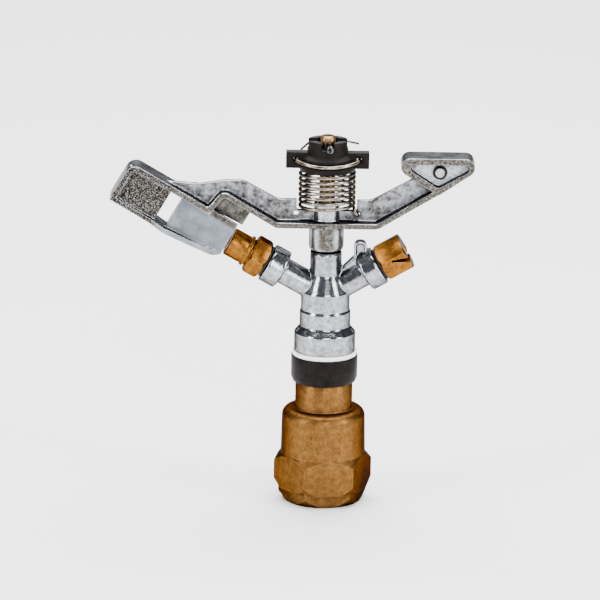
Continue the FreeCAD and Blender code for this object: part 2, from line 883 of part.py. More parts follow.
def make_swing_arm():
    """One casting: web and flange, head with its vane and spoon, hub with its sleeve, and counterweight."""
    body = new_body("swing_arm")
    web = outline(body, "web_outline", "XZ_Plane", corners(WEB_CORNERS))
    pad(body, "web", web, "web_thickness")
    flange(body, "left_flange", LEFT_PATH)
    flange(body, "right_flange", RIGHT_PATH)
    rail = outline(body, "rail_outline", "XZ_Plane", corners(RAIL_CORNERS), offset=head_offset_upright())
    tie_head_offset(rail)
    pad(body, "lower_rail", rail, "flange_depth")
    head_plate(body, "vane", VANE_CORNERS, "vane_bottom", "vane_top")
    head_plate(body, "spoon", SPOON_CORNERS, "spoon_bottom", "spoon_top")
    cut_vane_corner(body)
    counterweight(body)
    turn(
        body,
        "sleeve",
        [
            ("bush_bore", "sleeve_bottom"),
            ("sleeve_radius", "sleeve_bottom", "sleeve_round"),
            ("sleeve_radius", "flange_height"),
            ("boss_radius", "flange_height"),
            ("boss_radius", "boss_top"),
            ("bush_bore", "boss_top"),
        ],
    )
    turn(
        body,
        "spring_pocket",
        [
            ("boss_radius", "pocket_floor"),
            ("pocket_radius", "pocket_floor"),
            ("pocket_radius", "web_top + tool_proud"),
            ("boss_radius", "web_top + tool_proud"),
        ],
        cut=True,
    )
    bore_bushes(body)
    for name, side in (("left", "0 - "), ("right", "")):
        place = (side + "hook_hole_x", "hook_hole_z", "hook_hole_radius")
        hole = circle(body, name + "_hook_circle", "XZ_Plane", *place)
        pocket(body, name + "_hook_hole", hole, "2 * web_thickness")
    return keep("swing_arm", body)


def cut_vane_corner(body):
    """Slope the vane's lower inner corner down to the end of the lower rail."""
    corner = outline(
        body,
        "vane_corner_outline",
        "XZ_Plane",
        [
            ("0 - vane_cut_s", "vane_cut_side"),
            ("rail_k_x", "rail_k_z"),
            ("rail_j_x", "rail_j_z"),
            ("vane_cut_end", "vane_cut_low"),
            ("0 - vane_cut_s", "vane_cut_low"),
        ],
        offset=head_offset_upright(),
    )
    tie_head_offset(corner)
    pocket(body, "vane_corner", corner, "2 * flange_depth")


def bore_bushes(body):
    """Bore the hub for its two bushes, with a narrower waist between them."""
    turn(
        body,
        "bush_bores",
        [
            ("0", "sleeve_bottom - tool_proud"),
            ("bush_radius", "sleeve_bottom - tool_proud"),
            ("bush_radius", "lower_bush_top"),
            ("waist_bore", "lower_bush_top"),
            ("waist_bore", "upper_bush_bottom"),
            ("bush_radius", "upper_bush_bottom"),
            ("bush_radius", "web_top"),
            ("0", "web_top"),
        ],
        cut=True,
    )


# ---------------------------------------------------------------- arm spring, cap and split pin
def ease_bends(points, bend):
    """The points of a wire with each inner corner eased over a bend's length on both sides."""
    eased = [points[0]]
    for before, corner, after in zip(points, points[1:], points[2:]):
        entry = corner + (before - corner).normalize() * bend
        leave = corner + (after - corner).normalize() * bend
        eased += [entry, (entry + leave + corner * 2) / 4, leave]
    return eased + [points[-1]]


def bent_wire(points, radius):
    """A round wire of short straight runs through points, mitred where they meet."""
    section = Part.Wire(Part.makeCircle(radius, points[0], points[1] - points[0]))
    return Part.makePolygon(points).makePipeShell([section], True, False, 1)


def make_arm_spring():
    """The torsion spring: its foot hooks into the arm's web and its top hoops round the cap's front."""
    wire = size("arm_wire") / 2
    radius = size("arm_coil_radius")
    low = size("arm_coil_bottom")
    turns = size("arm_coil_turns")
    pitch = size("arm_coil_pitch")
    last_rise = size("arm_coil_last_rise")
    hook_x = size("hook_hole_x")
    hook_z = size("hook_hole_z")
    hook_front = size("arm_hook_front")
    enter = Vector(hook_x, -hook_front, hook_z)
    leave = Vector(radius, -hook_front, low)
    loop_end = (enter + leave) / 2 - Vector(0, enter.distanceToPoint(leave) / 2, 0)
    tail = Vector(hook_x, size("arm_hook_back"), hook_z)
    foot = [tail, Vector(hook_x, 0, hook_z), enter, loop_end, leave]
    coil = []
    for step in range(round((turns + 0.5) * RUNS_PER_TURN) + 1):
        turned = step / RUNS_PER_TURN
        height = low + pitch * min(turned, turns) + 2 * last_rise * max(turned - turns, 0)
        around = Rotation(Vector(0, 0, 1), 360 * turned)
        coil.append(around.multVec(Vector(radius, 0, 0)) + Vector(0, 0, height))
    top = coil[-1].z
    hole_x = size("wing_hole_x")
    hole_z = size("wing_hole_z")
    side = size("arm_hoop_side")
    end_y = size("arm_hoop_end")
    riser_side = size("arm_riser_side")
    riser = ease_bends(
        [
            Vector(-size("arm_riser_start"), radius, top),
            Vector(-riser_side, riser_side, top),
            Vector(-hole_x, end_y, hole_z),
            Vector(-hole_x, side, hole_z),
        ],
        size("arm_wire_bend"),
    )
    front = Vector(0, -size("arm_hoop_front"), size("arm_hoop_height"))
    arc = Part.Arc(Vector(-hole_x, -side, hole_z), front, Vector(hole_x, -side, hole_z))
    hoop = arc.toShape().discretize(HOOP_POINTS)
    end = [Vector(hole_x, side, hole_z), Vector(hole_x, end_y, hole_z)]
    spring = doc.addObject("Part::Feature", "arm_spring")
    spring.Shape = bent_wire(foot + coil + riser + hoop + end, wire)
    return keep("arm_spring", spring)


def make_spring_cap():
    """The cap that anchors the spring: skirt, wire groove, two wings and a notched crown."""
    body = new_body("cap_turning")
    turn(
        body,
        "cap_profile",
        [
            ("cap_bore", "cap_bottom"),
            ("cap_radius", "cap_bottom"),
            ("cap_radius", "cap_groove_bottom"),
            ("cap_groove_radius", "cap_groove_bottom"),
            ("cap_groove_radius", "cap_groove_top"),
            ("cap_shelf_radius", "cap_groove_top"),
            ("cap_shelf_radius", "cap_shelf_top"),
            ("crown_radius", "crown_foot"),
            ("crown_radius", "crown_top"),
            ("crown_well_radius", "crown_top"),
            ("crown_well_radius", "crown_well_floor"),
            ("cap_bore", "crown_well_floor"),
        ],
    )
    items = [body]
    for name, side in (("left", "0 - wing_reach"), ("right", "wing_root")):
        items.append(
            box(
                name + "_wing",
                "wing_reach - wing_root",
                "wing_depth",
                "wing_top - wing_bottom",
                side,
                "0 - wing_depth / 2",
                "wing_bottom",
            )
        )
    blank = fuse("cap_blank", *items)
    tools = [
        cylinder("cap_hollow", "cap_hollow_radius", "cap_hollow_top - cap_bottom", "cap_bottom"),
        box(
            "notch_front_back",
            "notch_width",
            "2 * cap_radius",
            "crown_top - notch_floor + tool_proud",
            "0 - notch_width / 2",
            "0 - cap_radius",
            "notch_floor",
        ),
        box(
            "notch_left_right",
            "2 * cap_radius",
            "notch_width",
            "crown_top - notch_floor + tool_proud",
            "0 - cap_radius",
            "0 - notch_width / 2",
            "notch_floor",
        ),
    ]
    for name, side in (("left", "0 - wing_hole_x"), ("right", "wing_hole_x")):
        hole = doc.addObject("Part::Cylinder", name + "_wing_hole")
        hole.Placement = Placement(Vector(0, 0, 0), Rotation(Vector(1, 0, 0), 90))
        bind(hole, "Radius", "wing_hole_radius")
        bind(hole, "Height", "2 * wing_depth")
        bind(hole, "Placement.Base.x", side)
        bind(hole, "Placement.Base.y", "wing_depth")
        bind(hole, "Placement.Base.z", "wing_hole_z")
        tools.append(hole)
    return keep("spring_cap", cut("spring_cap", blank, fuse("cap_cuts", *tools)))


def make_cotter_pin():
    """A split pin through the fulcrum pin: an upright eye in front and two legs spread behind."""
    wire = size("split_wire")
    height = size("pin_hole_height")
    front = -size("split_front")
    back = size("split_back")
    lower = height - size("split_legs_apart") / 2
    upper = height + size("split_legs_apart") / 2
    left = [
        Vector(-size("split_left_end_x"), size("split_left_end_y"), size("split_left_end_z")),
        Vector(-size("split_left_bend_x"), back, size("split_left_bend_z")),
        Vector(0, back, lower),
        Vector(0, front, lower),
    ]
    right = [
        Vector(0, front, upper),
        Vector(0, back, upper),
        Vector(size("split_right_end_x"), back, size("split_right_end_z")),
    ]
    facing = Rotation(Vector(0, 0, 1), size("split_eye_turn"))
    loop = size("split_eye_radius")
    eye = []
    for angle in range(120, -121, -EYE_STEP):
        around = Rotation(Vector(1, 0, 0), angle).multVec(Vector(0, -loop, 0)) - Vector(0, loop, 0)
        eye.append(Vector(0, front, height) + facing.multVec(around))
    bend = size("split_bend")
    pin = doc.addObject("Part::Feature", "cotter_pin")
    pin.Shape = bent_wire(ease_bends(left, bend) + eye + ease_bends(right, bend), wire)
    return keep("cotter_pin", pin)


# ---------------------------------------------------------------- build, check and write
def build():
    fill_sheet()
    make_inlet_connector()
    make_bearing()
    make_bearing_spring()
    make_hood()
    make_body()
    make_gasket("range", -1)
    make_gasket("spreader", 1)
    make_range_nozzle()
    make_spreader_nozzle()
    make_fulcrum()
    make_swing_arm()
    make_arm_spring()
    make_spring_cap()
    make_cotter_pin()
    doc.recompute()


def check():
    """Stop if an object failed or if a sub-part isn't one valid solid."""
    for item in doc.Objects:
        if "Invalid" in item.State or "Error" in item.State:
            raise RuntimeError("%s is %s" % (item.Name, item.State))
    for label, item in parts.items():
        shape = item.Shape
        if shape.isNull() or not shape.isValid() or len(shape.Solids) != 1:
            raise RuntimeError("%s has a bad shape with %d solids" % (label, len(shape.Solids)))


def write():
    os.makedirs("parts", exist_ok=True)
    for label, item in parts.items():
        item.Shape.exportStep("parts/%s.step" % label)
        limits = item.Shape.BoundBox
        low = (limits.XMin, limits.YMin, limits.ZMin)
        high = (limits.XMax, limits.YMax, limits.ZMax)
        spans = "  ".join("%6.1f %6.1f" % ends for ends in zip(low, high))
        print("%-18s %8.1f mm3  %s" % (label, item.Shape.Volume, spans))


build()
check()
write()
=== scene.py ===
"""Looks for the impact sprinkler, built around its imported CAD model."""

import json
import math

import bmesh
import bpy
from mathutils import Matrix, Vector


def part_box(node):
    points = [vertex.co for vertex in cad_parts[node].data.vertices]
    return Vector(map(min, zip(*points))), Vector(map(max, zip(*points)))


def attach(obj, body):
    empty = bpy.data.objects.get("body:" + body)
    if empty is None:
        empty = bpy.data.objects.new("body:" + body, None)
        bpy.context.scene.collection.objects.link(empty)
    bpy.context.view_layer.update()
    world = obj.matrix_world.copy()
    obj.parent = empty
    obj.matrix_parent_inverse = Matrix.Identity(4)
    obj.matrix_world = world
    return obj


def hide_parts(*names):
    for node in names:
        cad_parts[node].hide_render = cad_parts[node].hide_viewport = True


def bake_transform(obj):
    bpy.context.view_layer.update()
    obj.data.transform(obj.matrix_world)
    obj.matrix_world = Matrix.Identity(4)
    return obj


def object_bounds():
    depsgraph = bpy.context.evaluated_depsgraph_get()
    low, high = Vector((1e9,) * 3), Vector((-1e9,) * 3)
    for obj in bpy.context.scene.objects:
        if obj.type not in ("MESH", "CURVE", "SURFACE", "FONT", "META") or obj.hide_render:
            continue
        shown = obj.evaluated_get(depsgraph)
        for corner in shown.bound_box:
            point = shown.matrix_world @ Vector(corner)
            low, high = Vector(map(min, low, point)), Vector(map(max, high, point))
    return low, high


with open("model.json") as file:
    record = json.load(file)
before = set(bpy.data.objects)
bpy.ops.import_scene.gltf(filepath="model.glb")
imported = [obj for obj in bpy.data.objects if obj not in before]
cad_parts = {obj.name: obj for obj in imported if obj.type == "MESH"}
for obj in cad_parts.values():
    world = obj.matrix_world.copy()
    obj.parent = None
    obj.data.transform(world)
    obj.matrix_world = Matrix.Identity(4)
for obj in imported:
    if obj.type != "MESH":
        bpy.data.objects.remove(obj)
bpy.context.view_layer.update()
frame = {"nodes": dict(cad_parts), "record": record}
MM = 0.001

# Camera: how it stands to the sprinkler, and how much of the sprinkler's plane it takes in.
CAMERA_DISTANCE = 1800 * MM
CAMERA_LIFT = math.radians(15.44)
CAMERA_ROLL = math.radians(0.89)
CAMERA_AIM = Vector((-9.4, 0.0, 76.65)) * MM
VIEW_WIDTH = 223.3 * MM
SENSOR = 36.0

# The arm's head leans up and away from the foot of its own axis. Distances along that axis and up across it
# bound the zones of its faces: the plate in the hook, painted dark as shade under the rib, the vane and the
# spoon.
HEAD_LEAN = math.radians(30)
HEAD_ALONG = (-math.cos(HEAD_LEAN), 0.0, math.sin(HEAD_LEAN))
HEAD_ACROSS = (math.sin(HEAD_LEAN), 0.0, math.cos(HEAD_LEAN))
HEAD_FOOT = (0.0, 0.0, 79.3 * MM)
HOOK_START = 39.5 * MM
HOOK_END = 53.0 * MM
HOOK_TOP = 14.4 * MM
VANE_START = 41.5 * MM
VANE_TOP = 5.5 * MM
SPOON_START = 69.4 * MM

# How far from the arm's middle plane the looks of the counterweight's recess and of the edges start.
RECESS_DEPTH = 2.4 * MM
EDGE_DEPTH = 5.2 * MM

# The round boss in the counterweight's recess, and the ring of painted shade round it.
BOSS_CENTRE = (41.5 * MM, 0.0, 127.2 * MM)
BOSS_RADIUS = 2.2 * MM
BOSS_RING = 0.8 * MM

# The arm's spring: its wire, the hook in the arm's web, the coils and the hoop round the cap.
ARM_WIRE = 0.65 * MM
HOOK_X = 11.4 * MM
HOOK_FRONT = 2.8 * MM
HOOK_RISE = 2.1 * MM
COIL_RADIUS = 10.05 * MM
COIL_PITCH = 2.0 * MM
COIL_TURNS = 6.75
COIL_STEPS = 24
LAST_HALF_TURN = 0.5
LAST_RISE = 0.25 * MM
RISER_START = 2.0 * MM
RISER_SIDE = 9.05 * MM
HOOP_HOLE = 11.7 * MM
HOOP_SIDE = 3.05 * MM
HOOP_END = 6.1 * MM
HOOP_FRONT = 10.3 * MM
HOOP_DROOP = 1.1 * MM
WIRE_BEND = 1.5 * MM

# The split pin: its wire, its eye in front, and its legs' ends measured from the pin's hole.
SPLIT_WIRE = 0.42 * MM
SPLIT_EYE = 1.15 * MM
SPLIT_TURN = math.radians(50)
SPLIT_APART = 0.44 * MM
SPLIT_BEND = 0.85 * MM
SPLIT_FRONT = -9.2 * MM
SPLIT_BACK = 8.6 * MM
SPLIT_LEFT_END = Vector((-10.0, 7.4, -4.2)) * MM
SPLIT_LEFT_BEND = Vector((-7.0, 8.6, -1.7)) * MM
SPLIT_RIGHT_END = Vector((11.55, 8.6, -1.9)) * MM

# The short spring under the hood.
HOOD_ROOF = 1.3 * MM
BEARING_WIRE = 0.75 * MM
BEARING_COIL = 9.4 * MM
BEARING_TURNS = 2.5

# The inlet's female pipe thread.
THREAD_RADIUS = 12.06 * MM
THREAD_LENGTH = 18 * MM
THREAD_PITCH = 1.814 * MM
THREAD_WIRE = THREAD_PITCH / 4
THREAD_SIDES = 6
THREAD_CLEAR_TURNS = 2

# How finely the wires are drawn.
WIRE_SIDES = 16
SPRING_STEPS = 3
SPLIT_STEPS = 4
EYE_HALF_TURN = 120
EYE_STEP = 30

# The two castings are remeshed and smoothed, and the other pieces get a narrow bevel.
CAST_NODES = ("swing_arm", "body")
CAST_CELL = 0.32 * MM
CAST_SMOOTHING = 0.5
CAST_PASSES = 3
BEVEL_WIDTH = 0.2 * MM
BEVEL_STEPS = 2
BEVEL_ANGLE = math.radians(35)
WELD_GAP = 0.002 * MM

# Colours of the arm's casting: stops over a noise, from dark to light.
ZINC_TOP = ((0.36, (0.22, 0.225, 0.24)), (0.62, (0.46, 0.475, 0.50)))
ZINC_WEB = ((0.36, (0.03, 0.027, 0.025)), (0.47, (0.115, 0.114, 0.116)), (0.62, (0.29, 0.305, 0.33)))
ZINC_RECESS = ((0.36, (0.09, 0.09, 0.10)), (0.46, (0.32, 0.335, 0.365)), (0.62, (0.56, 0.585, 0.62)))
ZINC_EDGE = ((0.40, (0.022, 0.019, 0.016)), (0.52, (0.085, 0.076, 0.067)), (0.66, (0.28, 0.27, 0.25)))
# The plate in the hook: a dark colour painted as the shade under the rib.
ZINC_HOOK_SHADE = ((0.4, (0.035, 0.032, 0.027)), (0.6, (0.12, 0.113, 0.10)))
ZINC_VANE = ((0.36, (0.135, 0.155, 0.175)), (0.62, (0.235, 0.265, 0.295)))
ZINC_SPOON = ((0.45, (0.006, 0.005, 0.0045)), (0.53, (0.04, 0.036, 0.031)), (0.64, (0.45, 0.43, 0.40)))
# Painted shade on the arm's sides that turn away from the eye, and how far it goes.
ZINC_RIM_SHADE = (0.03, 0.03, 0.032)
ZINC_RIM_SHADE_MOST = 0.85
# Painted shade in a ring round the boss.
ZINC_BOSS_SHADE = (0.03, 0.027, 0.024)
ZINC_TOP_ROUGH = 0.2
ZINC_FACE_ROUGH = 0.4
ZINC_GRAIN_DEPTH = 0.06 * MM
ZINC_DENT_DEPTH = 0.05 * MM
ZINC_CORNER = 2.5 * MM

# Painted shade in corners: how much light is left from the depth of a corner, at 0, to open ground.
METAL_CORNER_SHADE = ((0.0, 0.12), (0.6, 0.8), (1.0, 1.0))
ZINC_CORNER_SHADE = ((0.0, 0.03), (0.45, 0.3), (0.85, 1.0))

# The tint of every metal's rim, then the other metals' painted shade on turned-away sides, painted
# highlights on sharp edges, and specks.
METAL_TINT = (0.3, 0.3, 0.3, 1.0)
METAL_RIM_SHADE_MOST = 0.92
EDGE_HIGHLIGHT_WIDTH = 0.5 * MM
EDGE_HIGHLIGHT_MOST = 0.5
EDGE_HIGHLIGHT_GAIN = 1.9
SPECKS = 0.7

# How far a grainy skin's roughness goes below and above its setting.
LESS_ROUGH = 0.07
MORE_ROUGH = 0.1

# The other finishes: a light and a dark colour, how rough the skin is, and its grain's size and depth.
# edge scales the dark colour painted as shade on turned-away sides, stain is how light the specks stay, and
# corner is how far the painted shade reaches out of a corner.
TURNED = {"rough": 0.3, "grain": 0.3 * MM, "depth": 0.01 * MM}
DRAWN = {"rough": 0.2, "grain": 0.3 * MM, "depth": 0.003 * MM}
SANDED = {"rough": 0.4, "grain": 0.4 * MM, "depth": 0.04 * MM, "edge": 0.3, "stain": 0.5}
POLISHED = {"rough": 0.14, "grain": 0.5 * MM, "depth": 0.012 * MM}
METALS = {
    "brass": dict(SANDED, light=(0.20, 0.093, 0.025), dark=(0.105, 0.046, 0.012)),
    "brass_inner": dict(TURNED, light=(0.4, 0.22, 0.06), dark=(0.3, 0.14, 0.03)),
    "nozzle_brass": dict(TURNED, light=(0.28, 0.115, 0.018), dark=(0.12, 0.042, 0.006)),
    # pin_brass's corner shade reaches far, to paint shade on it inside the spring.
    "pin_brass": dict(TURNED, light=(0.46, 0.3, 0.15), dark=(0.22, 0.14, 0.07), corner=9 * MM),
    "zinc": dict(POLISHED, light=(0.44, 0.45, 0.475), dark=(0.16, 0.163, 0.172)),
    "spring_steel": dict(DRAWN, light=(0.34, 0.295, 0.25), dark=(0.09, 0.07, 0.052)),
    "pin_steel": dict(DRAWN, light=(0.10, 0.10, 0.10), dark=(0.04, 0.04, 0.04)),
    "washer_dark": dict(TURNED, light=(0.08, 0.08, 0.08), dark=(0.03, 0.03, 0.03)),
}
PLASTICS = {
    "black_plastic": {
        "light": (0.0075, 0.0052, 0.0044),
        "dark": (0.002, 0.0015, 0.0013),
        "rough": 0.5,
        "shine": 0.07,
    },
    "white_plastic": {"light": (0.92, 0.92, 0.90), "dark": (0.86, 0.86, 0.84), "rough": 0.4, "shine": 0.5},
    "seal_plastic": {"light": (0.85, 0.83, 0.76), "dark": (0.75, 0.72, 0.65), "rough": 0.45, "shine": 0.5},
    "rubber": {"light": (0.012, 0.012, 0.012), "dark": (0.006, 0.006, 0.006), "rough": 0.7, "shine": 0.3},
    "gasket": {"light": (0.012, 0.010, 0.009), "dark": (0.005, 0.005, 0.004), "rough": 0.6, "shine": 0.3},
}

# Studio: each softbox's place, width, height and power, all aimed at the same point as the camera.
SOFTBOXES = {
    "softbox_front": ((0.22, -1.3, 0.5), 0.5, 0.8, 15.0),
    "softbox_left": ((-0.75, -0.45, 0.32), 0.25, 0.8, 9.0),
    "softbox_right": ((0.75, -0.45, 0.32), 0.25, 0.8, 9.0),
    "softbox_top": ((0.0, 0.25, 1.3), 1.4, 1.4, 75.0),
    "softbox_back": ((0.0, 1.5, 0.75), 2.4, 0.9, 22.0),
}
SKY_COLOUR = (0.85, 0.9, 1.0, 1.0)
SKY_STRENGTH = 0.22
FLOOR_HALF = 6.0
FLOOR_CLOUDS = 0.4
FLOOR_DARK = 0.9
FLOOR_LIGHT = 0.93
FLOOR_ROUGH = 0.7


# ---------------------------------------------------------------- material building blocks
# Sockets of Blender's Mix node when it mixes colours.
MIX_AMOUNT = 0
MIX_FIRST = 6
MIX_SECOND = 7
MIX_RESULT = 2

# Ranges over which a corner opens, a sharp edge flattens out, a face turns away from the eye, and a face of
# the arm turns square to the front or the back.
OPENING = (0.3, 0.95)
FLATTENING = (0.93, 0.995)
TURNING = (0.15, 0.8)
TURNING_BLEND = 0.35
SQUARING = (0.8, 0.95)
RAY_SAMPLES = 4


class Look:
    """A node material under construction, in the sprinkler's own metres."""

    def __init__(self, name):
        self.material = bpy.data.materials.new(name)
        self.material.use_nodes = True
        self.nodes = self.material.node_tree.nodes
        self.links = self.material.node_tree.links
        self.shader = self.nodes["Principled BSDF"]
        coordinates = self.nodes.new("ShaderNodeTexCoord")
        self.place = coordinates.outputs["Object"]
        self.facing = coordinates.outputs["Normal"]

    def connect(self, value, socket):
        """Feed a socket from another socket, a colour or a number."""
        if isinstance(value, bpy.types.NodeSocket):
            self.links.new(value, socket)
        elif isinstance(value, tuple):
            socket.default_value = (*value, 1.0)
        else:
            socket.default_value = value

    def noise(self, size, detail=4.0, roughness=0.6):
        """Noise whose features are about size across."""
        node = self.nodes.new("ShaderNodeTexNoise")
        node.inputs["Scale"].default_value = 1.0 / size
        node.inputs["Detail"].default_value = detail
        node.inputs["Roughness"].default_value = roughness
        self.links.new(self.place, node.inputs["Vector"])
        return node.outputs["Fac"]

    def ramp(self, value, *stops):
        """Turn a value into a colour through (position, colour) stops."""
        node = self.nodes.new("ShaderNodeValToRGB")
        elements = node.color_ramp.elements
        for element, (position, colour) in zip(elements, (stops[0], stops[-1])):
            element.position = position
            element.color = (*colour, 1.0)
        for position, colour in stops[1:-1]:
            elements.new(position).color = (*colour, 1.0)
        self.links.new(value, node.inputs["Fac"])
        return node.outputs["Color"]

    def remap(self, value, low, high, start=0.3, end=0.7):
        """Stretch a value's range from start..end to low..high, held at both ends."""
        node = self.nodes.new("ShaderNodeMapRange")
        node.inputs["From Min"].default_value = start
        node.inputs["From Max"].default_value = end
        node.inputs["To Min"].default_value = low
        node.inputs["To Max"].default_value = high
        self.links.new(value, node.inputs["Value"])
        return node.outputs["Result"]

    def past(self, value, start, blur=0.5 * MM):
        """1 where a length is past start, fading out over blur before it."""
        return self.remap(value, 0.0, 1.0, start - blur, start)

    def before(self, value, end, blur=0.5 * MM):
        """1 where a length is short of end, fading out over the last blur."""
        return self.remap(value, 1.0, 0.0, end - blur, end)

    def mix(self, amount, first, second, blend="MIX"):
        """The first colour, covered by the second as far as amount says."""
        node = self.nodes.new("ShaderNodeMix")
        node.data_type = "RGBA"
        node.blend_type = blend
        for value, number in ((amount, MIX_AMOUNT), (first, MIX_FIRST), (second, MIX_SECOND)):
            self.connect(value, node.inputs[number])
        return node.outputs[MIX_RESULT]

    def depth(self, vector):
        """How large a vector's Y part is, whichever way it points."""
        split = self.nodes.new("ShaderNodeSeparateXYZ")
        self.links.new(vector, split.inputs["Vector"])
        size = self.nodes.new("ShaderNodeMath")
        size.operation = "ABSOLUTE"
        self.links.new(split.outputs["Y"], size.inputs[0])
        return size.outputs["Value"]

    def product(self, first, second):
        """Two values multiplied."""
        node = self.nodes.new("ShaderNodeMath")
        node.operation = "MULTIPLY"
        self.links.new(first, node.inputs[0])
        self.links.new(second, node.inputs[1])
        return node.outputs["Value"]

    def along(self, direction, start):
        """How far a point is from start along a direction."""
        offset = self.nodes.new("ShaderNodeVectorMath")
        offset.operation = "SUBTRACT"
        offset.inputs[1].default_value = start
        self.links.new(self.place, offset.inputs[0])
        run = self.nodes.new("ShaderNodeVectorMath")
        run.operation = "DOT_PRODUCT"
        run.inputs[1].default_value = direction
        self.links.new(offset.outputs["Vector"], run.inputs[0])
        return run.outputs["Value"]

    def ring(self, centre, radius, width):
        """High on a ring of the arm's faces, round a line through centre that runs from front to back."""
        flat = self.nodes.new("ShaderNodeVectorMath")
        flat.operation = "MULTIPLY"
        flat.inputs[1].default_value = (1.0, 0.0, 1.0)
        self.links.new(self.place, flat.inputs[0])
        away = self.nodes.new("ShaderNodeVectorMath")
        away.operation = "DISTANCE"
        away.inputs[1].default_value = centre
        self.links.new(flat.outputs["Vector"], away.inputs[0])
        inner = self.past(away.outputs["Value"], radius - width / 2, width / 2)
        outer = self.before(away.outputs["Value"], radius + width, width / 2)
        return self.product(inner, outer)

    def shade_corners(self, colour, distance, stops):
        """Paint shade into corners narrower than distance, darkening a colour by stops from closed to open.
        """
        node = self.nodes.new("ShaderNodeAmbientOcclusion")
        node.samples = RAY_SAMPLES
        node.inputs["Distance"].default_value = distance
        openness = self.remap(node.outputs["AO"], 0.0, 1.0, *OPENING)
        greys = [(position, grey(level)) for position, level in stops]
        return self.mix(1.0, colour, self.ramp(openness, *greys), "MULTIPLY")

    def edges(self, width, most):
        """Up to most on the sharp edges of a solid, none on its faces."""
        rounded = self.nodes.new("ShaderNodeBevel")
        rounded.samples = RAY_SAMPLES
        rounded.inputs["Radius"].default_value = width
        flat = self.nodes.new("ShaderNodeNewGeometry")
        match = self.nodes.new("ShaderNodeVectorMath")
        match.operation = "DOT_PRODUCT"
        self.links.new(rounded.outputs["Normal"], match.inputs[0])
        self.links.new(flat.outputs["Normal"], match.inputs[1])
        return self.remap(match.outputs["Value"], most, 0.0, *FLATTENING)

    def rim_shade(self, most):
        """Painted shade: none where the surface faces the eye, up to most where it turns away."""
        node = self.nodes.new("ShaderNodeLayerWeight")
        node.inputs["Blend"].default_value = TURNING_BLEND
        return self.remap(node.outputs["Facing"], 0.0, most, *TURNING)

    def bump(self, height, depth, below=None):
        """Raise the surface by up to depth where height is 1."""
        node = self.nodes.new("ShaderNodeBump")
        node.inputs["Distance"].default_value = depth
        self.links.new(height, node.inputs["Height"])
        if below is not None:
            self.links.new(below, node.inputs["Normal"])
        return node.outputs["Normal"]

    def finish(self, colour, roughness, normal=None, **fixed):
        """Plug colour, roughness and normal into the shader, and set its other inputs by name."""
        self.connect(colour, self.shader.inputs["Base Color"])
        self.connect(roughness, self.shader.inputs["Roughness"])
        if normal is not None:
            self.connect(normal, self.shader.inputs["Normal"])
        for name, value in fixed.items():
            self.shader.inputs[name.replace("_", " ")].default_value = value
        return self.material


def grey(level):
    """A colour with the same level in all three channels."""
    return (level, level, level)


def scaled(colour, factor):
    """A lighter or darker copy of a colour."""
    return tuple(factor * level for level in colour)


# ---------------------------------------------------------------- finishes
def metal(name, light, dark, rough, grain, depth, edge=0.12, stain=0.45, corner=2.2 * MM):
    """A metal with a fine skin, cloudy colour, painted shade in corners and on turned-away sides, and
    painted highlights on its edges.
    """
    look = Look(name)
    clouds = look.noise(2.2 * MM, detail=7.0, roughness=0.75)
    specks = look.noise(0.7 * MM, detail=5.0, roughness=0.75)
    sand = look.noise(grain, detail=3.0, roughness=0.7)
    dents = look.noise(3.5 * MM, detail=2.0)
    base = look.ramp(clouds, (0.38, dark), (0.64, light))
    stains = look.ramp(specks, (0.36, grey(stain)), (0.5, grey(1.0)))
    base = look.mix(SPECKS, base, stains, "MULTIPLY")
    # Painted shade in the corners.
    base = look.shade_corners(base, corner, METAL_CORNER_SHADE)
    # Painted shade on sides turned away from the eye.
    base = look.mix(look.rim_shade(METAL_RIM_SHADE_MOST), base, scaled(dark, edge))
    # Painted highlights along the sharp edges.
    base = look.mix(look.edges(EDGE_HIGHLIGHT_WIDTH, EDGE_HIGHLIGHT_MOST), base, scaled(light, EDGE_HIGHLIGHT_GAIN))
    normal = look.bump(sand, depth, look.bump(dents, 1.5 * depth))
    roughness = look.remap(sand, rough - LESS_ROUGH, rough + MORE_ROUGH)
    return look.finish(base, roughness, normal, Metallic=1.0, Specular_Tint=METAL_TINT)


def arm_faces(look, speckle):
    """The colour of the arm's front and back faces: its web, and each zone that covers it."""
    blotch = look.noise(2.6 * MM, detail=7.0, roughness=0.68)
    patches = look.noise(7 * MM, detail=5.0)
    grit = look.noise(0.55 * MM, detail=6.0, roughness=0.8)
    outward = look.along(HEAD_ALONG, HEAD_FOOT)
    across = look.along(HEAD_ACROSS, HEAD_FOOT)
    depth = look.depth(look.place)
    # The plate in the hook gets a dark colour that paints the shade under the rib.
    hook_shade_zone = look.product(look.past(outward, HOOK_START), look.before(outward, HOOK_END))
    hook_shade_zone = look.product(hook_shade_zone, look.before(across, HOOK_TOP))
    on_vane = look.product(look.past(outward, VANE_START), look.before(across, VANE_TOP, blur=1 * MM))
    zones = (
        (look.past(depth, RECESS_DEPTH, blur=0.4 * MM), speckle, ZINC_RECESS),
        (look.past(depth, EDGE_DEPTH, blur=0.4 * MM), speckle, ZINC_EDGE),
        (hook_shade_zone, blotch, ZINC_HOOK_SHADE),
        (on_vane, patches, ZINC_VANE),
        (look.past(outward, SPOON_START, blur=1 * MM), grit, ZINC_SPOON),
    )
    colour = look.ramp(blotch, *ZINC_WEB)
    for amount, pattern, stops in zones:
        colour = look.mix(amount, colour, look.ramp(pattern, *stops))
    return colour


